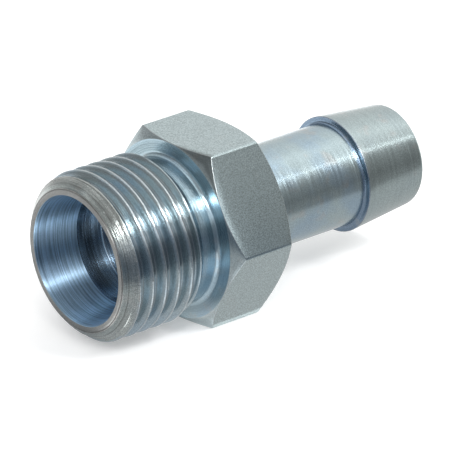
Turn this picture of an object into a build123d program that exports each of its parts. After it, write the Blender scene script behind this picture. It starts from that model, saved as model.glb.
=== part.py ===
# Hose tail for a compression fitting on a 10 mm tube, turned from hexagon bar.
#
# The axis is +X, from the threaded end to the hose end, and +Z is up with the part lying on a flat of its
# hexagon. The origin is on the axis, at the middle of the cone's mouth. All sizes are in millimetres.

from build123d import *
import os
from math import ceil, cos, radians, sqrt, tan

# Threaded stud: metric fine thread, right-hand
thread_size = 16.0
thread_pitch = 1.5
crest_allowance = 0.05  # how far the crests stay under the basic size, on the radius
first_groove = 0.66  # from the end face to the groove's middle, on the underside of the stud
thread_length = 8.05  # from the end face to the last crest's edge
end_face_diameter = 13.4
start_chamfer_length = 1.35

# Relief groove between the thread and the hexagon
relief_diameter = 13.7
relief_slope = 45.0  # of the run-out that leads down into the groove, in degrees
relief_corner = 0.4  # 45-degree corner between the groove's floor and the hexagon

# Hexagon
stud_length = 11.0  # from the end face to the hexagon
hex_width = 7.0
hex_across_flats = 17.0
hex_corner_radius = 0.3
front_chamfer_circle = 16.9
rear_chamfer_circle = 16.5
chamfer_angle = 30.0

# Hose end
neck_diameter = 9.8
neck_length = 12.1  # from the hexagon to the barb's step
barb_height = 0.65  # of the square step, on the radius
barb_tip_diameter = 9.7
barb_length = 7.3
step_fillet = 0.45
tip_radius = 0.9

# Cone, tube socket and bore
mouth_diameter = 12.3
cone_angle = 24.0  # included
cone_end_diameter = 10.5
tube_diameter = 10.0
tube_clearance = 0.1  # on the radius
socket_depth = 7.0  # from the end face to the shoulder that stops the tube
bore_diameter = 7.0
bore_chamfer = 0.3

# Places along the axis and radii that follow from the sizes above
crest_radius = thread_size / 2 - crest_allowance
thread_height = thread_pitch * sqrt(3) / 2  # of the sharp 60-degree triangle
root_radius = thread_size / 2 - thread_height * 17 / 24
relief_radius = relief_diameter / 2
run_out = (crest_radius - relief_radius) / tan(radians(relief_slope))
hex_front = stud_length
hex_rear = hex_front + hex_width
step_face = hex_rear + neck_length
tip_face = step_face + barb_length
socket_radius = tube_diameter / 2 + tube_clearance
AXIS_PLANE = Plane.XZ


def turned(points, fillets=()):
    """Revolve a closed outline of (distance along the axis, radius) about the axis.

    Each entry of fillets is a corner of the outline and the radius that rounds it.
    """
    outline = make_face(Polyline(*points, close=True))
    for corner, radius in fillets:
        nearest = outline.vertices().sort_by_distance(corner)[0]
        outline = fillet(nearest, radius)
    return revolve(AXIS_PLANE * outline, Axis.X)


def cut_thread(blank):
    """Cut the thread's V groove into a turned blank, half a turn of the helix at a time."""
    flank = radians(30)
    overshoot = thread_pitch / 15  # how far the cutter stands out past the crests

    def half_width(radius):
        at_basic_size = thread_pitch * 7 / 16
        return at_basic_size - (thread_size / 2 - radius) * tan(flank)

    outer = crest_radius + overshoot
    section = make_face(
        Polyline(
            (root_radius, -half_width(root_radius)),
            (root_radius, half_width(root_radius)),
            (outer, half_width(outer)),
            (outer, -half_width(outer)),
            close=True,
        )
    )
    half_turn = Helix(pitch=thread_pitch, height=thread_pitch / 2, radius=crest_radius)
    cutter = sweep(Plane.XZ * section, path=half_turn, is_frenet=True)
    start = first_groove - thread_pitch
    end = thread_length + run_out + thread_pitch / 2
    for step in range(ceil(2 * (end - start) / thread_pitch)):
        # The helix is drawn about Z and starts on +X, which the turn below brings to the underside.
        turned_on = Rot(0, 90, 0) * Rot(0, 0, 180 * step) * cutter
        blank -= Pos(start + step * thread_pitch / 2, 0, 0) * turned_on
    return blank


# Stud: chamfered start, thread and relief groove, rooted inside the hexagon
hex_middle = (hex_front + hex_rear) / 2
stud_root = relief_radius + relief_corner
stud = turned(
    [
        (0, 0),
        (0, end_face_diameter / 2),
        (start_chamfer_length, crest_radius),
        (thread_length, crest_radius),
        (thread_length + run_out, relief_radius),
        (hex_front - relief_corner, relief_radius),
        (hex_front, stud_root),
        (hex_middle, stud_root),
        (hex_middle, 0),
    ]
)
stud = cut_thread(stud)

# Hexagon: a prism on its flat, trimmed by one turned form with a chamfer at each end
apothem = hex_across_flats / 2
hex_outline = RegularPolygon(radius=apothem, side_count=6, major_radius=False)
hex_outline = fillet(hex_outline.vertices(), hex_corner_radius)
hexagon = Pos(hex_front, 0, 0) * extrude(Plane.YZ * hex_outline, amount=hex_width)
corner_reach = apothem / cos(radians(30))
front_rise = corner_reach - front_chamfer_circle / 2
rear_rise = corner_reach - rear_chamfer_circle / 2
hexagon &= turned(
    [
        (hex_front, 0),
        (hex_front, front_chamfer_circle / 2),
        (hex_front + front_rise * tan(radians(chamfer_angle)), corner_reach),
        (hex_rear - rear_rise * tan(radians(chamfer_angle)), corner_reach),
        (hex_rear, rear_chamfer_circle / 2),
        (hex_rear, 0),
    ]
)

# Hose end: neck, square step and the tapered barb with its rounded tip
neck_radius = neck_diameter / 2
rim_radius = neck_radius + barb_height
tip_corner = (tip_face, barb_tip_diameter / 2)
tail = turned(
    [
        (hex_middle, 0),
        (hex_middle, neck_radius),
        (step_face, neck_radius),
        (step_face, rim_radius),
        tip_corner,
        (tip_face, 0),
    ],
    [
        ((step_face, neck_radius), step_fillet),
        (tip_corner, tip_radius),
    ],
)

# Cone, tube socket with its stop shoulder, and the bore through to the hose end
bore_radius = bore_diameter / 2
mouth_radius = mouth_diameter / 2
cone_end_radius = cone_end_diameter / 2
cone_depth = (mouth_radius - cone_end_radius) / tan(radians(cone_angle / 2))
hollow = turned(
    [
        (0, 0),
        (0, mouth_radius),
        (cone_depth, cone_end_radius),
        (cone_depth + cone_end_radius - socket_radius, socket_radius),
        (socket_depth, socket_radius),
        (socket_depth, bore_radius),
        (tip_face - bore_chamfer, bore_radius),
        (tip_face, bore_radius + bore_chamfer),
        (tip_face, 0),
    ]
)

hose_tail = stud + hexagon + tail - hollow
os.makedirs("parts", exist_ok=True)
export_step(hose_tail, "parts/hose_tail.step")
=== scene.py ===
"""Looks of a plated steel hose tail: a threaded stud, a hexagon and a single-barb hose end."""

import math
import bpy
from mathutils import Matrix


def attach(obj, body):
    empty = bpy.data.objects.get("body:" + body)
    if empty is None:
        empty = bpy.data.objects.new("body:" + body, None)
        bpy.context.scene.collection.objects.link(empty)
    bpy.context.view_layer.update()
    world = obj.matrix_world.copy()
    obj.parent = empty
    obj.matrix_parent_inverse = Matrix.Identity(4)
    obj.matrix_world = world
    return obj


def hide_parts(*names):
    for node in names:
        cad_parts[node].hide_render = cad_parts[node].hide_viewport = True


bl_info = {
    "name": "Plated hose tail",
    "version": (1, 0, 0),
    "blender": (4, 5, 0),
    "location": "3D View > Sidebar > Hose tail",
    "description": "Builds the turned steel hose tail, its zinc finish and a plain studio",
    "category": "Object",
}

from typing import NamedTuple

import bpy
import numpy as np
from bpy.props import FloatProperty, FloatVectorProperty, IntProperty, PointerProperty
from bpy.types import NodeSocket, Operator, Panel, PropertyGroup
from mathutils import Matrix, Vector, noise

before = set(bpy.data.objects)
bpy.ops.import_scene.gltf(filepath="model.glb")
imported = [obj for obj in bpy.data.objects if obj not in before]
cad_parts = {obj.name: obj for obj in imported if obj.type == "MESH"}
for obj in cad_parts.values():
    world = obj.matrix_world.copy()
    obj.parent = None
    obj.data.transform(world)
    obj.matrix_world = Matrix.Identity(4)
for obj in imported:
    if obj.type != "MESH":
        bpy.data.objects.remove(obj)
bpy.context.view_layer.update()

MM = 0.001
TURN = 2 * math.pi
SECTOR = math.radians(60)  # from one corner of the hexagon to the next
HALF_SECTOR = SECTOR / 2
FLANK_ANGLE = math.radians(30)  # of a thread flank, from the plane across the axis
CHAMFER_ANGLE = math.radians(30)  # of the hexagon's chamfers, from the same plane


# ---- sizes and colours


def size(name, description, millimetres):
    """A size of the part, typed in metres and shown in the scene's unit."""
    return FloatProperty(
        name=name, description=description, default=millimetres * MM, min=0.0, subtype="DISTANCE",
        unit="LENGTH", precision=5,
    )


def angle(name, description, degrees):
    """An angle, shown in degrees."""
    return FloatProperty(
        name=name, description=description, default=math.radians(degrees), subtype="ANGLE", unit="ROTATION"
    )


def tint(name, description, red, green, blue):
    """A linear colour."""
    return FloatVectorProperty(
        name=name, description=description, default=(red, green, blue), min=0.0, max=1.0, subtype="COLOR"
    )


class HoseTailSizes(PropertyGroup):
    """Sizes of the hose tail, the solid model's but for the start chamfer and the small radii."""

    crest_radius: size("Crest radius", "Radius of the thread's crests", 7.95)
    root_radius: size("Root radius", "Radius of the thread's roots", 7.0798)
    pitch: size("Pitch", "Axial distance from one turn of the thread to the next", 1.5)
    first_crest: size("First crest", "Middle of the first crest at the zero angle, from the end face", 0.33)
    crest_flat: size("Crest flat", "Half the width of a crest", 0.1226)
    thread_end: size("Thread end", "End face to the last crest's edge", 8.05)
    end_face_radius: size("End face radius", "Outer radius of the flat ring at the mouth", 6.7)
    start_chamfer: size("Start chamfer", "Length of the chamfer in front of the thread", 1.15)
    relief_radius: size("Relief radius", "Radius of the groove behind the thread", 6.85)
    relief_fillet: size("Relief fillet", "Hollow radius between the groove and the hexagon", 0.5)
    hex_front: size("Hexagon front", "End face to the near side of the hexagon", 11.0)
    hex_rear: size("Hexagon rear", "End face to the far side of the hexagon", 18.0)
    apothem: size("Half across flats", "Axis to a flat of the hexagon", 8.5)
    hex_corner: size("Hexagon corner", "Radius of the drawn bar's corners", 0.3)
    front_circle: size("Front chamfer circle", "Radius where the front chamfer starts", 8.45)
    rear_circle: size("Rear chamfer circle", "Radius where the rear chamfer starts", 8.25)
    neck_radius: size("Neck radius", "Radius of the plain neck", 4.9)
    neck_fillet: size("Neck fillet", "Hollow radius between the hexagon and the neck", 0.2)
    step_face: size("Step face", "End face to the barb's square step", 30.1)
    step_fillet: size("Step fillet", "Hollow radius between the neck and the step", 0.45)
    rim_radius: size("Rim radius", "Largest radius of the barb", 5.55)
    tip_radius: size("Tip radius", "Radius of the barb's taper at the hose end", 4.85)
    tip_round: size("Tip rounding", "Radius that rounds the hose end", 0.9)
    tip_face: size("Tip face", "End face to the hose end", 37.4)
    bore_radius: size("Bore radius", "Radius of the flow passage", 3.5)
    bore_chamfer: size("Bore chamfer", "Chamfer of the bore at the hose end", 0.3)
    mouth_radius: size("Mouth radius", "Radius of the cone at the end face", 6.15)
    cone_end_radius: size("Cone end radius", "Radius where the cone ends", 5.25)
    socket_radius: size("Socket radius", "Radius of the tube socket", 5.1)
    socket_depth: size("Socket depth", "End face to the shoulder that stops the tube", 7.0)
    edge_break: size("Edge break", "Radius that the plating leaves on sharp edges", 0.05)
    cone_angle: angle("Cone angle", "Included angle of the mouth's cone", 24)
    flat_steps: IntProperty(
        name="Flat steps", description="Facets across one flat of the hexagon", default=40, min=12
    )


class HoseTailFinish(PropertyGroup):
    """Colours and gloss of the zinc plating."""

    turned_zinc: tint("Turned zinc", "Bluish plating on the turned faces", 0.4, 0.488, 0.508)
    thread_zinc: tint("Thread zinc", "Blue-green plating on the thread's flanks", 0.39, 0.46, 0.485)
    chamfer_zinc: tint("Chamfer zinc", "Torn grey metal of the start chamfer", 0.4, 0.44, 0.43)
    drawn_zinc: tint("Drawn zinc", "Grey plating on the hexagon's flats", 0.42, 0.5, 0.51)
    bored_zinc: tint("Bored zinc", "Blue plating inside the mouth", 0.35, 0.5, 0.64)
    face_zinc: tint("Face zinc", "Dull plating on the end face", 0.3, 0.305, 0.3)
    worn_zinc: tint("Worn zinc", "Pale rubbed edges", 0.465, 0.445, 0.43)
    roughness: FloatProperty(
        name="Roughness", description="Roughness of the turned plating", default=0.18, min=0.0, max=1.0,
        subtype="FACTOR",
    )


class HoseTailStudio(PropertyGroup):
    """Camera and floor."""

    azimuth: angle("Azimuth", "Bearing of the camera", -39.38)
    elevation: angle("Elevation", "Height angle of the camera", 24.0131)
    roll: angle("Roll", "Tilt of the camera about its own axis", -0.4738)
    distance: size("Distance", "Camera to the point it looks at", 527.2694)
    aim: FloatVectorProperty(
        name="Aim", description="Point the camera looks at", default=(0.0175785, -0.0000927, -0.0017503),
        subtype="TRANSLATION", unit="LENGTH", precision=6,
    )
    lens: FloatProperty(
        name="Focal length", description="Focal length of the lens", default=455.68,
        subtype="DISTANCE_CAMERA", unit="CAMERA",
    )
    table: tint("Table", "Colour of the floor", 0.8, 0.8, 0.8)


# ---- outline of the turned form


def corner_rounding(sizes):
    """Axis to the centre of a hexagon corner's rounding, and the angle it spans to one side."""
    centre = (sizes.apothem - sizes.hex_corner) / math.cos(HALF_SECTOR)
    reach = centre + sizes.hex_corner * math.cos(HALF_SECTOR)
    return centre, math.atan2(sizes.hex_corner / 2, reach)


def angles_round(sizes):
    """Angles about the axis, closer together at the corners of the hexagon."""
    span = corner_rounding(sizes)[1]
    near = [0.0, 0.3 * span, 0.65 * span, span, span + math.radians(0.2)]
    plain = np.linspace(near[-1], SECTOR - near[-1], sizes.flat_steps + 1)[1:-1]
    sector = near + list(plain) + [SECTOR - a for a in reversed(near[1:])]
    return np.concatenate([np.array(sector) + k * SECTOR for k in range(6)])


def hexagon_radius(angles, sizes):
    """Radius of the rounded hexagon, whose corners lie at 0, 60, ... degrees."""
    centre, span = corner_rounding(sizes)
    off = np.abs((angles + SECTOR / 2) % SECTOR - SECTOR / 2)
    flat = sizes.apothem / np.cos(HALF_SECTOR - off)
    under = np.maximum(sizes.hex_corner**2 - (centre * np.sin(off)) ** 2, 0.0)
    return np.where(off < span, centre * np.cos(off) + np.sqrt(under), flat)


class Corner(NamedTuple):
    """A corner of an outline, and the run that leads to it."""

    along: np.ndarray  # distance along the axis, for each angle about it
    radius: np.ndarray
    rounding: float  # radius that rounds the corner, 0 for none
    steps: int  # points over the rounding
    spacing: float  # between points on the run, or None for a run with no points of its own
    zone: str  # finish of the run
    bend: str  # finish of the rounding
    wear: float  # how far the corner is rubbed, from 0 to 1


class Profile:
    """A closed outline of (distance along the axis, radius), which may change with the angle."""

    LONGEST_REACH = 0.45  # share of the shorter run that a rounding may take

    def __init__(self, count):
        self.count = count
        self.corners = []

    def to(self, along, radius, rounding=0.0, steps=4, spacing=None, zone="turned", bend=None, wear=0.0):
        """Runs on to a corner, whose rounding has the run's finish unless bend names another."""
        ones = np.ones(self.count)
        corner = Corner(along * ones, radius * ones, rounding, steps, spacing, zone, bend or zone, wear)
        self.corners.append(corner)

    def rounded(self, i):
        """Points over a corner, each with its wear: the corner itself, or a conic arc between its runs."""
        before, corner, after = (self.corners[k % len(self.corners)] for k in (i - 1, i, i + 1))
        here = np.array([corner.along, corner.radius])
        if corner.rounding <= 0:
            return [(here, corner.wear)]
        into = here - np.array([before.along, before.radius])
        out = np.array([after.along, after.radius]) - here
        into_length = np.maximum(np.hypot(*into), 1e-12)
        out_length = np.maximum(np.hypot(*out), 1e-12)
        into, out = into / into_length, out / out_length
        turn = np.arccos(np.clip((into * out).sum(0), -1, 1))
        room = self.LONGEST_REACH * np.minimum(into_length, out_length)
        reach = np.minimum(corner.rounding * np.tan(turn / 2), room)
        start, end, weight = here - into * reach, here + out * reach, np.cos(turn / 2)
        arc = []
        for t in np.linspace(0, 1, corner.steps):
            a, b, c = (1 - t) ** 2, 2 * t * (1 - t) * weight, t * t
            arc.append(((a * start + b * here + c * end) / (a + b + c), corner.wear * 4 * t * (1 - t)))
        return arc

    def rows(self):
        """Rows of points with each corner rounded, and for each row its zone and its wear."""
        arcs = [self.rounded(i) for i in range(len(self.corners))]
        points, zones, wears = [], [], []
        for i, (corner, arc) in enumerate(zip(self.corners, arcs)):
            last = arcs[i - 1][-1][0]
            gap = arc[0][0] - last
            length = float(np.hypot(*gap).mean())
            parts = max(round(length / corner.spacing), 1) if corner.spacing else 1
            for k in range(1, parts):
                points.append(last + gap * (k / parts))
                zones.append(corner.zone)
                wears.append(0.0)
            for k, (point, wear) in enumerate(arc):
                points.append(point)
                zones.append(corner.bend if k else corner.zone)
                wears.append(wear)
        return points, zones, wears


THREAD_START, THREAD_STOP = 0.35 * MM, 8.95 * MM  # circles between which the thread's own rows lie
CHAMFER_ZONE_END = 1.1 * MM  # faces before this have the start chamfer's finish
FACING_EDGE = 6.6 * MM  # radius of the step's inner edge that the facing tool left in the end face
FACING_FOOT = (0.08 * MM, 6.64 * MM)  # deepest place of that step
FACING_RIM = (0.06 * MM, 6.74 * MM)  # its outer end, where the start chamfer begins
SOCKET_RIDGES = 9  # tool ridges left in the tube socket
RIDGE_DEPTH = 0.05 * MM
RIDGE_SLOPE = 0.7  # share of a ridge's length that rises slowly


def outer_and_inner_profile(sizes, angles):
    """The whole outline, once round: end face, stud, hexagon, neck, barb, bore, socket and cone."""
    rim = hexagon_radius(angles, sizes)
    front_edge = sizes.hex_front + (rim - sizes.front_circle) * math.tan(CHAMFER_ANGLE)
    rear_edge = sizes.hex_rear - (rim - sizes.rear_circle) * math.tan(CHAMFER_ANGLE)
    run_out_foot = sizes.thread_end + sizes.crest_radius - sizes.relief_radius
    sharp = sizes.edge_break
    line = Profile(len(angles))
    # End face, with the small step of the facing tool inside its outer edge
    line.to(0.0, sizes.mouth_radius, sharp, zone="coned", wear=0.6)
    line.to(0.0, FACING_EDGE, 0.03 * MM, steps=3, spacing=0.15 * MM, zone="faced")
    line.to(*FACING_FOOT, 0.02 * MM, steps=3, zone="faced")
    line.to(*FACING_RIM, 0.03 * MM, steps=3, zone="faced", wear=1.0)
    line.to(THREAD_START, stud_envelope(THREAD_START, sizes), spacing=0.1 * MM, zone="chamfered")
    # Thread, then the groove and the hexagon's near side
    line.to(THREAD_STOP, stud_envelope(THREAD_STOP, sizes), zone="threaded")
    line.to(run_out_foot, sizes.relief_radius, 0.15 * MM, spacing=0.1 * MM, zone="relieved")
    line.to(
        sizes.hex_front, sizes.relief_radius, sizes.relief_fillet, steps=9, spacing=0.3 * MM,
        zone="relieved",
    )
    line.to(sizes.hex_front, sizes.front_circle, sharp, spacing=0.4 * MM, zone="relieved", wear=0.5)
    line.to(front_edge, rim, 2 * sharp, steps=5, spacing=0.3 * MM, zone="cornered", wear=0.3)
    # Flats, then the hexagon's far side
    line.to(rear_edge, rim, 2 * sharp, steps=5, spacing=0.6 * MM, zone="drawn", wear=0.45)
    line.to(sizes.hex_rear, sizes.rear_circle, sharp, spacing=0.3 * MM, wear=0.5)
    line.to(sizes.hex_rear, sizes.neck_radius, sizes.neck_fillet, steps=6, spacing=0.6 * MM)
    # Neck, step and barb
    line.to(
        sizes.step_face, sizes.neck_radius, sizes.step_fillet, steps=9, spacing=1.2 * MM, bend="stepped"
    )
    line.to(sizes.step_face, sizes.rim_radius, 0.07 * MM, steps=5, zone="stepped", wear=0.5)
    line.to(sizes.tip_face, sizes.tip_radius, sizes.tip_round, steps=10, spacing=0.9 * MM, zone="barbed")
    line.to(sizes.tip_face, sizes.bore_radius + sizes.bore_chamfer, sharp, spacing=0.3 * MM, wear=0.4)
    line.to(sizes.tip_face - sizes.bore_chamfer, sizes.bore_radius, sharp, zone="bored")
    # Bore, shoulder, ridged socket and cone
    line.to(sizes.socket_depth, sizes.bore_radius, sharp, spacing=1.5 * MM, zone="bored")
    line.to(sizes.socket_depth, sizes.socket_radius, 0.15 * MM, spacing=0.4 * MM, zone="bored")
    cone_end = (sizes.mouth_radius - sizes.cone_end_radius) / math.tan(sizes.cone_angle / 2)
    lip = sizes.cone_end_radius - sizes.socket_radius
    ridge = (sizes.socket_depth - cone_end - 4 * lip) / SOCKET_RIDGES
    for k in range(SOCKET_RIDGES):
        foot = sizes.socket_depth - k * ridge
        top = sizes.socket_radius + RIDGE_DEPTH
        line.to(foot - RIDGE_SLOPE * ridge, top, 0.02 * MM, steps=2, zone="bored")
        line.to(foot - ridge, sizes.socket_radius, 0.02 * MM, steps=2, zone="bored")
    line.to(cone_end, sizes.cone_end_radius, 0.1 * MM, steps=3, zone="bored")
    line.to(0.0, sizes.mouth_radius - 0.0005 * MM, spacing=0.25 * MM, zone="coned")
    return line


# ---- thread


ROOT_FLAT = 0.125 * MM  # half the width of a root
CROWN_DROP = 0.06 * MM  # from the middle of a crest to its edges
SHALLOW_LENGTH = 1.7 * MM  # over which the groove comes down to its full depth
SHALLOW_SHARE = 0.55  # share of the depth that is missing at the end face
TORN_MIDDLE = 0.9 * MM  # place and half length of the torn metal on the start chamfer
SEAMS = ((0.05, 0.78 * MM, 0.05 * MM), (0.035, 1.08 * MM, 0.04 * MM))  # depth in mm, place, half width
FLANK_RUN = 1.47  # surface length on the thread for a length along the radius


def smooth_least(a, b, blend):
    """The lesser of two values, rounded over where they cross."""
    mix = np.clip(0.5 + 0.5 * (b - a) / blend, 0, 1)
    return b + (a - b) * mix - blend * mix * (1 - mix)


def smooth_most(a, b, blend):
    """The greater of two values, rounded over where they cross."""
    return -smooth_least(-a, -b, blend)


def stud_envelope(along, sizes):
    """Radius of the stud's start chamfer and run-out, before the thread is cut."""
    slope = (sizes.crest_radius - sizes.end_face_radius) / sizes.start_chamfer
    chamfer = sizes.end_face_radius + slope * along
    run_out = sizes.crest_radius - (along - sizes.thread_end)
    return np.minimum(chamfer, run_out)


def ridge_phase(along, angles, sizes):
    """Axial distance to the nearest crest's middle."""
    lead = along - sizes.first_crest - sizes.pitch * angles / TURN
    return (lead + sizes.pitch / 2) % sizes.pitch - sizes.pitch / 2


def thread_form(phase, along, sizes):
    """Radius of the thread's form, cut less deep near the end face."""
    away = np.abs(phase)
    flank = sizes.crest_radius - (away - sizes.crest_flat) / math.tan(FLANK_ANGLE)
    crown = sizes.crest_radius - CROWN_DROP * (away / sizes.crest_flat) ** 2
    form = smooth_most(smooth_least(flank, crown, 0.03 * MM), sizes.root_radius, 0.09 * MM)
    shallow = np.clip(1 - along / SHALLOW_LENGTH, 0, 1) * SHALLOW_SHARE
    return form + shallow * (sizes.crest_radius - form)


def grain(x, y, z, scale, seed=0.0):
    """Smooth unseeded noise between -1 and 1 at each point, with features of about 1 / scale."""
    return np.array(
        [noise.noise(Vector((a * scale + seed, b * scale, c * scale))) for a, b, c in zip(x, y, z)]
    )


def thread_rows(sizes):
    """Places of the helical rows at the zero angle, denser at crests and roots, and how many to a turn."""
    flat, pitch = sizes.crest_flat, sizes.pitch
    root = pitch / 2 - ROOT_FLAT
    near = [0.0, 0.55 * flat, 0.85 * flat, 1.15 * flat]
    flank = list(np.linspace(1.15 * flat, root - 0.05 * MM, 6)[1:])
    foot = [root + 0.01 * MM, root + 0.07 * MM]
    half = np.array(near + flank + foot)
    cycle = np.concatenate([half, [pitch / 2], pitch - half[:0:-1]])
    first = math.floor((THREAD_START - pitch - sizes.first_crest) / pitch)
    last = math.ceil((THREAD_STOP - sizes.first_crest) / pitch)
    places = np.concatenate([cycle + sizes.first_crest + k * pitch for k in range(first, last + 1)])
    return places, len(cycle)


def thread_values(along, turn, sizes):
    """Radius, wear and darkening of the thread's own points, with its torn crests and start chamfer."""
    phase = ridge_phase(along, turn, sizes)
    form = thread_form(phase, along, sizes)
    body = smooth_least(stud_envelope(along, sizes), sizes.crest_radius + 0 * along, 0.05 * MM)
    radius = smooth_least(form, body, 0.03 * MM)
    y, z = radius * np.cos(turn), radius * np.sin(turn)
    on_crest = np.clip(1 - np.abs(phase) / sizes.crest_flat, 0, 1)
    crest = on_crest * np.clip((radius / sizes.crest_radius - 0.975) / 0.02, 0, 1)
    torn = 0.6 * np.clip(1 - np.abs(along - TORN_MIDDLE) / TORN_MIDDLE, 0, 1)
    seam = sum(depth * np.exp(-(((along - place) / width) ** 2)) for depth, place, width in SEAMS)
    seam = seam * np.clip(np.sin(turn * 0.5) * 1.6 - 0.3, 0, 1)
    ragged = grain(along, y, z, 2600.0) + 0.6 * grain(along, y, z, 6100.0, 7.0)
    radius = radius - MM * ((0.012 * crest + 0.03 * torn) * (0.6 + ragged) + seam)
    # Painted shade with some soil in the roots, and a dull darker patch on one side of the start chamfer
    deep = np.clip((sizes.root_radius + 0.16 * MM - radius) / (0.12 * MM), 0, 1)
    stain = np.clip(1.5 - np.abs(turn - math.radians(30)) / math.radians(40), 0, 1)
    stain = stain * np.clip(1.5 - along / MM, 0, 1)
    return radius, 0.5 * crest + 0.35 * torn, np.maximum(deep, stain)


# ---- the hose tail's mesh


# Middle and half width of the darker patch on the hexagon's front chamfer
GRIME_ANGLE, GRIME_SPREAD = math.radians(118), math.radians(24)


def turned_soil(along, radius, turn, zones, count):
    """Darkening of the hexagon's front chamfer at its upper near corner, and painted shade in the end
    face's small step.
    """
    on_chamfer = np.repeat([1.0 if zone == "cornered" else 0.0 for zone in zones], count)
    grime = on_chamfer * np.clip(1 - np.abs(turn - GRIME_ANGLE) / GRIME_SPREAD, 0, 1) ** 0.5
    # Painted shade in the valley of the end face's small step
    in_step = (along > 0.03 * MM) & (along < 0.1 * MM) & (radius > FACING_EDGE) & (radius < 6.7 * MM)
    return np.maximum(grime, np.where(in_step, 1.0, 0.0))


def shape_hose_tail(sizes):
    """Points, faces, each face's zone and per-point values of the whole part as one closed skin."""
    angles = angles_round(sizes)
    count = len(angles)
    rows, zones, wears = outer_and_inner_profile(sizes, angles).rows()
    cut = zones.index("threaded")
    low_ring, high_ring = (cut - 1) * count, cut * count
    lengths = [0.0]
    for a, b in zip(rows, rows[1:]):
        lengths.append(lengths[-1] + float(np.hypot(*(b - a)).mean()))
    along = np.concatenate([row[0] for row in rows])
    radius = np.concatenate([row[1] for row in rows])
    turn = np.tile(angles, len(rows))
    soil = turned_soil(along, radius, turn, zones, count)

    # Rings of faces between the turned rows, left open where the thread goes
    step = np.arange(count)
    ahead = (step + 1) % count
    faces, zone_of_face = [], []
    for k in range(len(rows)):
        if k != cut:
            low, high = ((k - 1) % len(rows)) * count, k * count
            faces.append(np.stack([low + step, low + ahead, high + ahead, high + step], 1))
            zone_of_face += [zones[k]] * count

    # Helical rows of the thread, held between the circles that bound it
    places, per_turn = thread_rows(sizes)
    grid = places[:, None] + sizes.pitch * angles[None, :] / TURN
    index = np.full(grid.shape, -1)
    index[grid <= THREAD_START] = np.broadcast_to(low_ring + step, grid.shape)[grid <= THREAD_START]
    index[grid >= THREAD_STOP] = np.broadcast_to(high_ring + step, grid.shape)[grid >= THREAD_STOP]
    free = index < 0
    index[free] = len(along) + np.arange(free.sum())
    own_along, own_turn = grid[free], np.broadcast_to(angles, grid.shape)[free]
    own_radius, own_wear, own_soil = thread_values(own_along, own_turn, sizes)
    own_run = lengths[cut - 1] + FLANK_RUN * (own_radius - rows[cut - 1][1].mean())
    after = np.concatenate([index[:, 1:], np.full((len(places), 1), high_ring)], 1)
    after[: len(places) - per_turn, -1] = index[per_turn:, 0]
    quads = np.stack([index[:-1], after[:-1], after[1:], index[1:]], 2).reshape(-1, 4)
    faces.append(quads)

    along = np.concatenate([along, own_along])
    radius = np.concatenate([radius, own_radius])
    turn = np.concatenate([turn, own_turn])
    values = {
        "run": np.concatenate([np.repeat(lengths, count), own_run]),
        "wear": np.concatenate([np.repeat(wears, count), own_wear]),
        "soil": np.concatenate([soil, own_soil]),
    }
    zone_of_face += ["chamfered" if x < CHAMFER_ZONE_END else "threaded" for x in along[quads].mean(1)]
    points = np.stack([along, radius * np.cos(turn), radius * np.sin(turn)], 1)
    kept, kept_zones = without_collapsed(np.concatenate(faces), zone_of_face)
    return points, kept, kept_zones, values


def without_collapsed(faces, zones):
    """The faces without repeated corners, and without those collapsed to a line."""
    kept, kept_zones = [], []
    for face, zone in zip(faces.tolist(), zones):
        ring = [v for i, v in enumerate(face) if v != face[i - 1]]
        if len(ring) >= 3 and len(set(ring)) == len(ring):
            kept.append(ring)
            kept_zones.append(zone)
    return kept, kept_zones


def fill_mesh(name, points, faces, values):
    """A mesh object of those points and faces, with named values on the points."""
    mesh = bpy.data.meshes.new(name)
    mesh.from_pydata(points.tolist(), [], faces)
    for label, numbers in values.items():
        mesh.attributes.new(label, "FLOAT", "POINT").data.foreach_set("value", numbers.astype(np.float32))
    made = bpy.data.objects.new(name, mesh)
    bpy.context.scene.collection.objects.link(made)
    return made


# ---- shader helpers


def feed(tree, socket, value):
    """Links a socket to the input, or types a number or colour into it."""
    if isinstance(value, NodeSocket):
        tree.links.new(value, socket)
    else:
        socket.default_value = value


def new_group(name, inputs, outputs):
    """A shader node group with its inputs and outputs, each a (name, kind)."""
    group = bpy.data.node_groups.new(name, "ShaderNodeTree")
    kinds = {"value": "NodeSocketFloat", "colour": "NodeSocketColor"}
    for way, sockets in (("INPUT", inputs), ("OUTPUT", outputs)):
        for label, kind in sockets:
            group.interface.new_socket(label, in_out=way, socket_type=kinds[kind])
    inside, outside = group.nodes.new("NodeGroupInput"), group.nodes.new("NodeGroupOutput")
    return group, inside.outputs, outside.inputs


def place_group(tree, group, **values):
    """A group node with its own input values; spaces in input names are written as underscores."""
    node = tree.nodes.new("ShaderNodeGroup")
    node.node_tree = group
    for label, value in values.items():
        feed(tree, node.inputs[label.replace("_", " ")], value)
    return node.outputs


def object_place(tree):
    """A point's place in the piece's own frame, in metres."""
    return tree.nodes.new("ShaderNodeTexCoord").outputs["Object"]


def calculate(tree, operation, *values, clamp=False, kind="ShaderNodeMath"):
    """A Math or Vector Math node; each value is a number, a vector or a socket."""
    node = tree.nodes.new(kind)
    node.operation = operation
    if clamp:
        node.use_clamp = True
    for socket, value in zip(node.inputs, values):
        feed(tree, socket, value)
    return node.outputs[0]


def between(tree, value, low, high, to_low=0.0, to_high=1.0):
    """A Map Range node, smoothly stepped and clamped."""
    node = tree.nodes.new("ShaderNodeMapRange")
    node.interpolation_type = "SMOOTHSTEP"
    tree.links.new(value, node.inputs["Value"])
    for label, number in (("From Min", low), ("From Max", high), ("To Min", to_low), ("To Max", to_high)):
        node.inputs[label].default_value = number
    return node.outputs["Result"]


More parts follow.
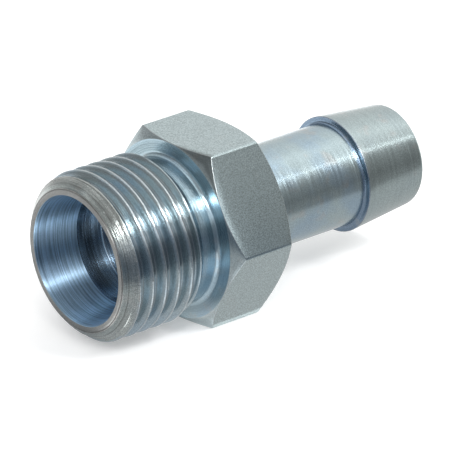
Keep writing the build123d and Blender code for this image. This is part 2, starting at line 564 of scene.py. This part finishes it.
def mix_colour(tree, factor, a, b, blend="MIX"):
    """A Mix node for colours; factor is a number or a socket, a and b are colours or sockets."""
    node = tree.nodes.new("ShaderNodeMix")
    node.data_type = "RGBA"
    node.blend_type = blend
    sockets = {socket.identifier: socket for socket in node.inputs}
    feed(tree, sockets["Factor_Float"], factor)
    for label, colour in (("A_Color", a), ("B_Color", b)):
        feed(tree, sockets[label], colour if isinstance(colour, NodeSocket) else (*colour, 1.0))
    return next(s for s in node.outputs if s.identifier == "Result_Color")


def shade(tree, colour, level):
    """A colour multiplied by a grey level."""
    grey = tree.nodes.new("ShaderNodeCombineColor")
    for label in ("Red", "Green", "Blue"):
        tree.links.new(level, grey.inputs[label])
    return mix_colour(tree, 1.0, colour, grey.outputs[0], "MULTIPLY")


def noise_at(tree, place, scale, detail=2.0, rough=0.5, dimensions="3D"):
    """A Noise node at a vector or, in 1D, at a value."""
    node = tree.nodes.new("ShaderNodeTexNoise")
    node.noise_dimensions = dimensions
    tree.links.new(place, node.inputs["W" if dimensions == "1D" else "Vector"])
    feed(tree, node.inputs["Scale"], scale)
    node.inputs["Detail"].default_value = detail
    node.inputs["Roughness"].default_value = rough
    return node.outputs[0]


def ramp_of(tree, value, stops):
    """A smooth ramp of stops (place, red, green, blue), or (place, grey), along a value."""
    node = tree.nodes.new("ShaderNodeValToRGB")
    node.color_ramp.interpolation = "EASE"
    tree.links.new(value, node.inputs[0])
    elements = node.color_ramp.elements
    while len(elements) < len(stops):
        elements.new(0.5)
    for element, (place, *colour) in zip(elements, stops):
        element.position = place
        element.color = (*(colour * 3 if len(colour) == 1 else colour), 1)
    return node.outputs["Color"]


def new_material(name, **values):
    """A material, its node tree and its shader's inputs, some with values typed in."""
    material = bpy.data.materials.new(name)
    material.use_nodes = True
    inputs = material.node_tree.nodes["Principled BSDF"].inputs
    for label, value in values.items():
        inputs[label.replace("_", " ")].default_value = value
    return material, material.node_tree, inputs


def value_on(tree, label):
    """A named value stored on the points."""
    node = tree.nodes.new("ShaderNodeAttribute")
    node.attribute_name = label
    return node.outputs["Fac"]


# ---- shared effects


USUAL_TONE = 0.4  # of the turning marks
PIT_SHADE, GRAIN_SHINE = 0.5, 0.6  # change of tone in pits and on grains, for a sparkle of 1
RINGS_ACROSS = 0.25  # Anisotropic Rotation that stretches the gloss across the tool's rings


def make_turning_marks():
    """Fine rings that the lathe tool leaves, as a height and a tone."""
    group, inputs, outputs = new_group(
        "Turning marks",
        [("Fineness", "value"), ("Coarseness", "value"), ("Coarse share", "value")],
        [("Height", "value"), ("Tone", "value")],
    )
    place = object_place(group)
    drift = calculate(group, "MULTIPLY", noise_at(group, place, 180.0, 1.0), 0.00003)
    shifted = calculate(group, "ADD", value_on(group, "run"), drift)
    fine = noise_at(group, shifted, inputs["Fineness"], 1.0, dimensions="1D")
    coarse = noise_at(group, shifted, inputs["Coarseness"], 2.0, dimensions="1D")
    # Arcs that begin and end part of the way round
    stretched = calculate(group, "MULTIPLY", place, (140.0, 140.0, 0.0), kind="ShaderNodeVectorMath")
    spread = group.nodes.new("ShaderNodeCombineXYZ")
    group.links.new(calculate(group, "MULTIPLY", shifted, inputs["Coarseness"]), spread.inputs["Z"])
    joined = calculate(group, "ADD", stretched, spread.outputs[0], kind="ShaderNodeVectorMath")
    arcs = calculate(group, "MULTIPLY_ADD", noise_at(group, joined, 1.6, 3.0), 0.85, -0.15)
    mixed = calculate(group, "MULTIPLY_ADD", coarse, 0.45, arcs)
    fine_share = calculate(group, "SUBTRACT", 1.0, inputs["Coarse share"])
    height = calculate(
        group, "ADD", calculate(group, "MULTIPLY", fine, fine_share),
        calculate(group, "MULTIPLY", mixed, inputs["Coarse share"]),
    )
    group.links.new(height, outputs["Height"])
    group.links.new(mixed, outputs["Tone"])
    return group


def make_plating_tone():
    """Cloudy changes of the zinc's tint, darkening by painted shade and soil, and paler rubbed edges."""
    group, inputs, outputs = new_group(
        "Plating tone",
        [
            ("Zinc", "colour"), ("Wide haze", "colour"), ("Small haze", "colour"), ("Worn", "colour"),
            ("Haze", "value"), ("Tone", "value"), ("Ring contrast", "value"),
        ],
        [("Colour", "colour"), ("Wear", "value")],
    )
    place = object_place(group)
    wide = between(group, noise_at(group, place, 260.0, 3.0), 0.4, 0.7)
    small = between(group, noise_at(group, place, 700.0, 3.0), 0.55, 0.75)
    wide, small = (calculate(group, "MULTIPLY", cloud, inputs["Haze"]) for cloud in (wide, small))
    colour = mix_colour(group, wide, inputs["Zinc"], inputs["Wide haze"])
    colour = mix_colour(group, small, colour, inputs["Small haze"])
    ringed = between(group, inputs["Tone"], 0.3, 0.7, -0.6, 0.4)
    level = calculate(group, "MULTIPLY_ADD", ringed, inputs["Ring contrast"], 1.0)
    # Darker where the points carry painted shade and soil
    clean = between(group, value_on(group, "soil"), 0.0, 1.0, 1.0, 0.55)
    colour = shade(group, colour, calculate(group, "MULTIPLY", level, clean))
    chips = between(group, noise_at(group, place, 2500.0, 3.0), 0.3, 0.6, 0.35, 1.0)
    wear = calculate(group, "MULTIPLY", value_on(group, "wear"), chips, clamp=True)
    group.links.new(mix_colour(group, wear, colour, inputs["Worn"]), outputs["Colour"])
    group.links.new(wear, outputs["Wear"])
    return group


def make_pickled_grain():
    """Fine pits and sparkles of the drawn bar under its plating, as a height and a tone."""
    group, inputs, outputs = new_group(
        "Pickled grain", [("Fineness", "value")], [("Height", "value"), ("Tone", "value")]
    )
    fine = noise_at(group, object_place(group), inputs["Fineness"], 3.0, 0.65)
    group.links.new(fine, outputs["Height"])
    group.links.new(between(group, fine, 0.35, 0.65), outputs["Tone"])
    return group


class Plating(NamedTuple):
    """How the faces of one zone are plated and marked."""

    zinc: tuple  # main tint
    wide_haze: tuple  # tints of the wide and the small clouds
    small_haze: tuple
    roughness: float
    anisotropy: float = 0.0
    fine_rings: float = 14000.0  # features of the fine and the coarse tool marks, to the metre
    coarse_rings: float = 3600.0
    coarse_share: float = 0.2
    grain_depth: float = 0.001  # of the bump, in millimetres
    ring_depth: float = 0.004
    haze: float = 0.55
    ring_contrast: float = 0.1
    sparkle: float = 0.2
    ring_gloss: float = 0.1  # change of roughness with the rings' tone
    worn_gloss: float = 0.2  # change of roughness where the plating is rubbed


def platings(finish):
    """The plating of each zone of the outline."""
    blue, warm = (0.3, 0.42, 0.55), (0.45, 0.46, 0.45)
    return {
        "turned": Plating(
            finish.turned_zinc, blue, warm, finish.roughness, 0.1, coarse_share=0.12, grain_depth=0.0006,
            ring_contrast=0.06, sparkle=0.15, ring_gloss=0.25,
        ),
        "relieved": Plating(
            (0.36, 0.47, 0.52), blue, warm, 0.165, ring_depth=0.006, haze=0.4, ring_contrast=0.12,
            sparkle=0.15, ring_gloss=0.06,
        ),
        "cornered": Plating(
            (0.4, 0.47, 0.49), (0.38, 0.42, 0.43), warm, 0.2, grain_depth=0.002, haze=0.4,
            ring_gloss=0.05, worn_gloss=0.05,
        ),
        "barbed": Plating(
            (0.395, 0.468, 0.472), (0.36, 0.43, 0.45), warm, finish.roughness + 0.02, 0.1,
            coarse_rings=3000.0, coarse_share=0.12, ring_gloss=0.2,
        ),
        # The step and its hollow fillet: the plating's blue tint, made much darker than the turned zinc as
        # painted shade in the corner
        "stepped": Plating(
            (0.22, 0.3, 0.39), (0.18, 0.25, 0.35), warm, 0.25, coarse_rings=5000.0, coarse_share=0.3,
            grain_depth=0.002, ring_depth=0.008, haze=0.5, ring_contrast=0.25, worn_gloss=0.15,
        ),
        "threaded": Plating(
            finish.thread_zinc, blue, warm, 0.17, coarse_rings=4000.0, grain_depth=0.002,
            ring_depth=0.006, haze=0.3, ring_gloss=0.04, worn_gloss=0.02,
        ),
        "chamfered": Plating(
            finish.chamfer_zinc, (0.3, 0.36, 0.38), warm, 0.2, 0.4, 9000.0, 3500.0, 0.5,
            grain_depth=0.004, ring_depth=0.03, haze=0.6, ring_contrast=0.25, sparkle=0.3, worn_gloss=0.1,
        ),
        "drawn": Plating(
            finish.drawn_zinc, (0.4, 0.5, 0.52), warm, 0.18, 0.0, 9000.0, 900.0, grain_depth=0.006,
            ring_depth=0.0, haze=0.12, ring_contrast=0.0, sparkle=0.36, ring_gloss=0.0, worn_gloss=0.1,
        ),
        "coned": Plating(
            finish.bored_zinc, (0.32, 0.46, 0.62), blue, 0.38, 0.95, 9000.0, 6000.0, 0.3,
            grain_depth=0.0005, ring_depth=0.012, haze=0.3, ring_contrast=0.6, sparkle=0.1,
            ring_gloss=0.15, worn_gloss=0.1,
        ),
        "bored": Plating(
            (0.4, 0.48, 0.55), (0.32, 0.42, 0.55), blue, 0.22, 0.3, 16000.0, 3000.0, 0.5,
            ring_depth=0.02, haze=0.3, ring_contrast=0.7, sparkle=0.1, worn_gloss=0.1,
        ),
        "faced": Plating(
            finish.face_zinc, warm, (0.45, 0.4, 0.38), 0.3, 0.3, 22000.0, 3000.0, 0.3,
            grain_depth=0.004, ring_depth=0.01, haze=0.5, sparkle=0.3, worn_gloss=0.1,
        ),
    }


def steel_material(name, groups, worn, plating):
    """Zinc-plated steel: one metal shader fed by the shared tone, ring and grain groups."""
    material, tree, shader = new_material(
        name, Metallic=1.0, Anisotropic=plating.anisotropy, Anisotropic_Rotation=RINGS_ACROSS
    )
    marks = place_group(
        tree, groups["marks"], Fineness=plating.fine_rings, Coarseness=plating.coarse_rings,
        Coarse_share=plating.coarse_share,
    )
    tone = place_group(
        tree, groups["tone"], Zinc=(*plating.zinc, 1), Wide_haze=(*plating.wide_haze, 1),
        Small_haze=(*plating.small_haze, 1), Worn=(*worn, 1), Haze=plating.haze, Tone=marks["Tone"],
        Ring_contrast=plating.ring_contrast,
    )
    pits = place_group(tree, groups["grain"], Fineness=9000.0)
    speck = between(
        tree, pits["Tone"], 0.0, 1.0, 1 - PIT_SHADE * plating.sparkle, 1 + GRAIN_SHINE * plating.sparkle
    )
    tree.links.new(shade(tree, tone["Colour"], speck), shader["Base Color"])
    plain = plating.roughness - USUAL_TONE * plating.ring_gloss
    gloss = calculate(tree, "MULTIPLY_ADD", tone["Wear"], plating.worn_gloss, plain)
    gloss = calculate(tree, "MULTIPLY_ADD", marks["Tone"], plating.ring_gloss, gloss)
    tree.links.new(gloss, shader["Roughness"])
    height = calculate(
        tree, "ADD", calculate(tree, "MULTIPLY", marks["Height"], plating.ring_depth),
        calculate(tree, "MULTIPLY", pits["Height"], plating.grain_depth),
    )
    bump = tree.nodes.new("ShaderNodeBump")
    bump.inputs["Distance"].default_value = MM
    bump.inputs["Strength"].default_value = 1.0
    tree.links.new(height, bump.inputs["Height"])
    tree.links.new(bump.outputs["Normal"], shader["Normal"])
    return material


# ---- studio


TABLE_TOP = -8.52 * MM  # a hair under the flat that the part lies on
TABLE_REACH = 4.0  # from the middle to each side, in metres
TABLE_GLOW = 0.3  # for what sees the table itself, which turns it white

# Brightness round the part's axis, from the table behind it, over the top, to the table in front
TENT = (
    (0.0, 0.88), (0.15, 0.92), (0.32, 1.1), (0.5, 1.42), (0.6, 1.15), (0.7, 0.95), (0.78, 0.42),
    (0.9, 0.42), (1.0, 0.75),
)
TENT_AT_HOSE, TENT_AT_MOUTH = 2.0, 0.72  # strengths on the two sides, for half the brightness above

# Name, place in metres, window (length along the part, breadth) in metres, radiance
LAMPS = (
    ("hose_side_strip", (0.68, -0.361, 0.479), (0.4, 0.022), 4.4),
    ("thread_strip", (0.218, -0.402, 0.446), (0.13, 0.19), 26.0),
    ("thread_wash", (0.25, -0.215, 0.56), (0.16, 0.22), 2.4),
    ("back_window", (-0.33, 0.25, 0.44), (0.12, 0.32), 0.7),
    ("mouth_side_strip", (-0.5, -0.379, 0.465), (0.7, 0.06), 14.0),
    ("mouth_side_wash", (-0.5, -0.42, 0.43), (0.7, 0.32), 2.6),
)

# Front card, in millimetres
FRONT_LEFT, FRONT_NOTCH, FRONT_RIGHT = -60, 18.2, 120  # its foot is wider past the notch
FRONT_SHEET, FRONT_BY_STUD, FRONT_BY_NECK = -26, -5.2, 8  # upright sheet, and the foot's near edges
FRONT_TOP, FRONT_FOOT = 21, -8.4
# Its shades from the foot's near edge to the top, beside the stud and beside the hose end
FRONT_SHADES = (
    (0.0, 0.66), (0.3, 0.58, 0.6, 0.62), (0.4, 0.26, 0.29, 0.33), (0.55, 0.18, 0.2, 0.24),
    (0.72, 0.24, 0.26, 0.29), (0.88, 0.24, 0.25, 0.26), (1.0, 0.36),
)
FRONT_GREYS = ((0.0, 0.66), (0.3, 0.6), (0.4, 0.32), (0.55, 0.25), (0.72, 0.3), (0.88, 0.34), (1.0, 0.4))
FRONT_FOLD = 0.4
FRONT_GLOW = (1.1, 1.13, 1.18)

# Mouth card, in millimetres
MOUTH_SHEET, MOUTH_EDGE = -22, 10.8  # upright sheet beyond the mouth, and the foot's edge under the thread
MOUTH_ENDS = (-40, 32)  # across the part
MOUTH_TOP, MOUTH_FOOT = 7, -8.35
MOUTH_SPAN = 33  # length along the foot over which its shades run
# Its shades in front of the axis, from the top to the foot's edge
MOUTH_SHADES = (
    (0.0, 0.3, 0.32, 0.36), (0.15, 0.15, 0.18, 0.22), (0.3, 0.15, 0.18, 0.22), (0.46, 0.36, 0.38, 0.4),
    (0.57, 0.62, 0.64, 0.66), (0.7, 0.56, 0.57, 0.58), (0.85, 0.66, 0.67, 0.68), (1.0, 0.9),
)
# Its shades behind the axis, from the fold to the foot's edge
MOUTH_BEHIND = (
    (0.0, 0.74), (0.5, 0.74), (0.6, 0.3, 0.32, 0.34), (0.82, 0.33, 0.35, 0.36),
    (0.95, 0.5),
)
MOUTH_FOLD = 0.3
MOUTH_GLOW = (1.4, 1.42, 1.45)
# The white patch glows at five times white, a painted highlight in the cone
PATCH_PLACE = (-8, -2.5)  # middle of the white patch, for the pale band across the cone
PATCH_WHITE = (5.0, 5.0, 5.0)


def make_floor(studio):
    """A wide pale table that shows white behind the part and keeps its shadow."""
    corners = np.array([[-1, -1, 0], [1, -1, 0], [1, 1, 0], [-1, 1, 0]], float) * TABLE_REACH
    floor = fill_mesh("table", corners + (0, 0, TABLE_TOP), [[0, 1, 2, 3]], {})
    material, tree, shader = new_material(
        "pale_table", Base_Color=(*studio.table, 1), Roughness=0.9, Specular_IOR_Level=0.1,
        Emission_Color=(1, 1, 1, 1),
    )
    path = tree.nodes.new("ShaderNodeLightPath").outputs
    seen = calculate(tree, "MAXIMUM", path["Is Camera Ray"], path["Is Glossy Ray"])
    seen = calculate(tree, "MAXIMUM", seen, path["Is Transmission Ray"])
    tree.links.new(calculate(tree, "MULTIPLY", seen, TABLE_GLOW), shader["Emission Strength"])
    floor.data.materials.append(material)


def make_tent(scene):
    """A pale tent of light, brightest overhead and dimmer on the side of the threaded end."""
    world = bpy.data.worlds.new("light_tent")
    scene.world = world
    world.use_nodes = True
    tree = world.node_tree
    back = tree.nodes["Background"]
    aim = tree.nodes.new("ShaderNodeSeparateXYZ")
    tree.links.new(tree.nodes.new("ShaderNodeTexCoord").outputs["Generated"], aim.inputs[0])
    round_axis = calculate(tree, "ARCTAN2", aim.outputs["Z"], aim.outputs["Y"])
    share = calculate(tree, "DIVIDE", round_axis, math.pi, clamp=True)
    stops = [(place, level / 2) for place, level in TENT]
    tree.links.new(ramp_of(tree, share, stops), back.inputs["Color"])
    side = between(tree, aim.outputs["X"], -0.65, 0.15, TENT_AT_MOUTH, TENT_AT_HOSE)
    tree.links.new(side, back.inputs["Strength"])


def hang_lamp(scene, name, place, window, radiance):
    """A lamp with a rectangular window that faces the part's axis."""
    light = bpy.data.lights.new(name, "AREA")
    light.shape = "RECTANGLE"
    light.size, light.size_y = window
    light.energy = radiance * math.pi * window[0] * window[1]
    lamp = bpy.data.objects.new(name, light)
    scene.collection.objects.link(lamp)
    out = Vector((0.0, place[1], place[2])).normalized()
    along = Vector((1, 0, 0))
    facing = Matrix((along, out.cross(along), out)).transposed().to_4x4()
    lamp.matrix_world = Matrix.Translation(place) @ facing


def glowing_card(name, points, faces, paint):
    """A glowing card that only reflections show, a painted reflection in the metal, whose own shades come
    from paint(tree, place).
    """
    card = fill_mesh(name, np.array(points, float) * MM, faces, {})
    material, tree, shader = new_material(
        name, Base_Color=(0, 0, 0, 1), Specular_IOR_Level=0.0, Emission_Strength=1.0
    )
    place = tree.nodes.new("ShaderNodeSeparateXYZ")
    tree.links.new(object_place(tree), place.inputs[0])
    tree.links.new(paint(tree, place.outputs), shader["Emission Color"])
    card.data.materials.append(material)
    card.visible_camera = card.visible_diffuse = card.visible_shadow = False


def paint_front(tree, place):
    """Shades along the section of the front card, with a pale glow high up beside the stud."""
    foot = between(tree, place["Y"], -9 * MM, FRONT_SHEET * MM, 0.0, FRONT_FOLD)
    upright = between(tree, place["Z"], FRONT_FOOT * MM, FRONT_TOP * MM, 0.0, 1 - FRONT_FOLD)
    section = calculate(tree, "ADD", foot, upright)
    hose_side = between(tree, place["X"], 27 * MM, 36 * MM)
    colour = mix_colour(
        tree, hose_side, ramp_of(tree, section, FRONT_SHADES), ramp_of(tree, section, FRONT_GREYS)
    )
    rising = between(tree, section, 0.72, 0.94)
    lit = calculate(tree, "MULTIPLY", rising, between(tree, place["X"], 26 * MM, 23 * MM))
    return mix_colour(tree, lit, colour, FRONT_GLOW)


def paint_mouth(tree, place):
    """Shades of the mouth card, with a pale glow in front of the part and a white patch near the mouth."""
    across = -MOUTH_SHEET / MOUTH_SPAN
    upright = between(tree, place["Z"], MOUTH_TOP * MM, MOUTH_FOOT * MM, 0.0, MOUTH_FOLD)
    foot = calculate(
        tree, "MULTIPLY_ADD", place["X"], (1 - MOUTH_FOLD) / (MOUTH_SPAN * MM), (1 - MOUTH_FOLD) * across,
        clamp=True,
    )
    before = ramp_of(tree, calculate(tree, "ADD", upright, foot), MOUTH_SHADES)
    along = calculate(tree, "MULTIPLY_ADD", place["X"], 1 / (MOUTH_SPAN * MM), across, clamp=True)
    behind = ramp_of(tree, along, MOUTH_BEHIND)
    colour = mix_colour(tree, between(tree, place["Y"], -4 * MM, 1 * MM), before, behind)
    near_stud = between(tree, place["X"], -1 * MM, 4 * MM)
    in_front = between(tree, place["Y"], -8.5 * MM, -12 * MM)
    colour = mix_colour(tree, calculate(tree, "MULTIPLY", near_stud, in_front), colour, MOUTH_GLOW)
    off_x, off_y = (
        calculate(tree, "ABSOLUTE", calculate(tree, "SUBTRACT", place[axis], at * MM))
        for axis, at in zip("XY", PATCH_PLACE)
    )
    patch = calculate(
        tree, "MULTIPLY", between(tree, off_x, 6 * MM, 4 * MM), between(tree, off_y, 2.5 * MM, 1 * MM)
    )
    return mix_colour(tree, patch, colour, PATCH_WHITE)


def make_cards():
    """Graded glowing cards before the part and beyond its mouth, for its metal to mirror something darker:
    painted reflections, whose pale glows and white patch paint highlights.
    """
    front = [
        (FRONT_LEFT, FRONT_SHEET, FRONT_TOP), (FRONT_RIGHT, FRONT_SHEET, FRONT_TOP),
        (FRONT_LEFT, FRONT_SHEET, FRONT_FOOT), (FRONT_RIGHT, FRONT_SHEET, FRONT_FOOT),
        (FRONT_NOTCH, FRONT_SHEET, FRONT_FOOT), (FRONT_LEFT, FRONT_BY_STUD, FRONT_FOOT),
        (FRONT_NOTCH, FRONT_BY_STUD, FRONT_FOOT), (FRONT_NOTCH, FRONT_BY_NECK, FRONT_FOOT),
        (FRONT_RIGHT, FRONT_BY_NECK, FRONT_FOOT),
    ]
    glowing_card("front_card", front, [[0, 1, 3, 4, 2], [2, 4, 6, 5], [4, 3, 8, 7]], paint_front)
    section = ((MOUTH_SHEET, MOUTH_TOP), (MOUTH_SHEET, MOUTH_FOOT), (MOUTH_EDGE, MOUTH_FOOT))
    mouth = [(x, y, z) for x, z in section for y in MOUTH_ENDS]
    glowing_card("mouth_card", mouth, [[0, 1, 3, 2], [2, 3, 5, 4]], paint_mouth)


def make_camera(scene, studio):
    """The camera, aimed from its bearing and height."""
    camera = bpy.data.objects.new("camera", bpy.data.cameras.new("camera"))
    scene.collection.objects.link(camera)
    camera.data.sensor_width = 36.0
    camera.data.lens = studio.lens
    camera.data.clip_start, camera.data.clip_end = 0.01, 20.0
    bearing, height = studio.azimuth, studio.elevation
    back = Vector(
        (math.sin(bearing) * math.cos(height), -math.cos(bearing) * math.cos(height), math.sin(height))
    )
    right = Vector((math.cos(bearing), math.sin(bearing), 0))
    up = back.cross(right)
    right, up = (
        right * math.cos(studio.roll) + up * math.sin(studio.roll),
        up * math.cos(studio.roll) - right * math.sin(studio.roll),
    )
    place = Matrix.Translation(Vector(studio.aim) + back * studio.distance)
    camera.matrix_world = place @ Matrix((right, up, back)).transposed().to_4x4()
    scene.camera = camera
    scene.view_settings.view_transform = "Standard"


# ---- operators


class HOSETAIL_OT_body(Operator):
    """Build the hose tail as one closed skin in zinc-plated steel"""

    bl_idname = "hosetail.body"
    bl_label = "Hose tail"

    def execute(self, context):
        finish = context.scene.hose_tail_finish
        points, faces, zones, values = shape_hose_tail(context.scene.hose_tail_sizes)
        # The object's own Z is the part's axis, so that the brushed gloss runs round it.
        tail = fill_mesh("hose_tail_skin", points[:, [1, 2, 0]], faces, values)
        tail.matrix_world = Matrix(((0, 0, 1, 0), (1, 0, 0, 0), (0, 1, 0, 0), (0, 0, 0, 1)))
        groups = {"marks": make_turning_marks(), "tone": make_plating_tone(), "grain": make_pickled_grain()}
        coats = platings(finish)
        for zone, plating in coats.items():
            tail.data.materials.append(steel_material(f"{zone}_steel", groups, finish.worn_zinc, plating))
        slots = {zone: number for number, zone in enumerate(coats)}
        numbers = np.array([slots[zone] for zone in zones], np.int32)
        tail.data.polygons.foreach_set("material_index", numbers)
        tail.data.shade_smooth()
        weigh = tail.modifiers.new("Even shading", "WEIGHTED_NORMAL")
        weigh.mode = "FACE_AREA"
        weigh.weight = 50
        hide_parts("hose_tail")
        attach(tail, "root")
        return {"FINISHED"}


class HOSETAIL_OT_studio(Operator):
    """Set the floor, the soft light and the camera"""

    bl_idname = "hosetail.studio"
    bl_label = "Studio"

    def execute(self, context):
        studio = context.scene.hose_tail_studio
        make_floor(studio)
        make_tent(context.scene)
        for lamp in LAMPS:
            hang_lamp(context.scene, *lamp)
        make_cards()
        make_camera(context.scene, studio)
        return {"FINISHED"}


class HOSETAIL_PT_sidebar(Panel):
    """Sizes, finish and studio of the hose tail"""

    bl_idname = "HOSETAIL_PT_sidebar"
    bl_label = "Hose tail"
    bl_space_type = "VIEW_3D"
    bl_region_type = "UI"
    bl_category = "Hose tail"

    def draw(self, context):
        layout = self.layout
        scene = context.scene
        for operator in (HOSETAIL_OT_body, HOSETAIL_OT_studio):
            layout.operator(operator.bl_idname)
        for group in (scene.hose_tail_sizes, scene.hose_tail_finish, scene.hose_tail_studio):
            box = layout.box()
            for label in group.bl_rna.properties.keys():
                if label not in {"rna_type", "name"}:
                    box.prop(group, label)


CLASSES = (
    HoseTailSizes, HoseTailFinish, HoseTailStudio, HOSETAIL_OT_body, HOSETAIL_OT_studio,
    HOSETAIL_PT_sidebar,
)


def register():
    for cls in CLASSES:
        bpy.utils.register_class(cls)
    bpy.types.Scene.hose_tail_sizes = PointerProperty(type=HoseTailSizes)
    bpy.types.Scene.hose_tail_finish = PointerProperty(type=HoseTailFinish)
    bpy.types.Scene.hose_tail_studio = PointerProperty(type=HoseTailStudio)


def unregister():
    del bpy.types.Scene.hose_tail_sizes
    del bpy.types.Scene.hose_tail_finish
    del bpy.types.Scene.hose_tail_studio
    for cls in reversed(CLASSES):
        bpy.utils.unregister_class(cls)


def main():
    register()
    bpy.ops.hosetail.body()
    bpy.ops.hosetail.studio()


if __name__ == "__main__":
    main()
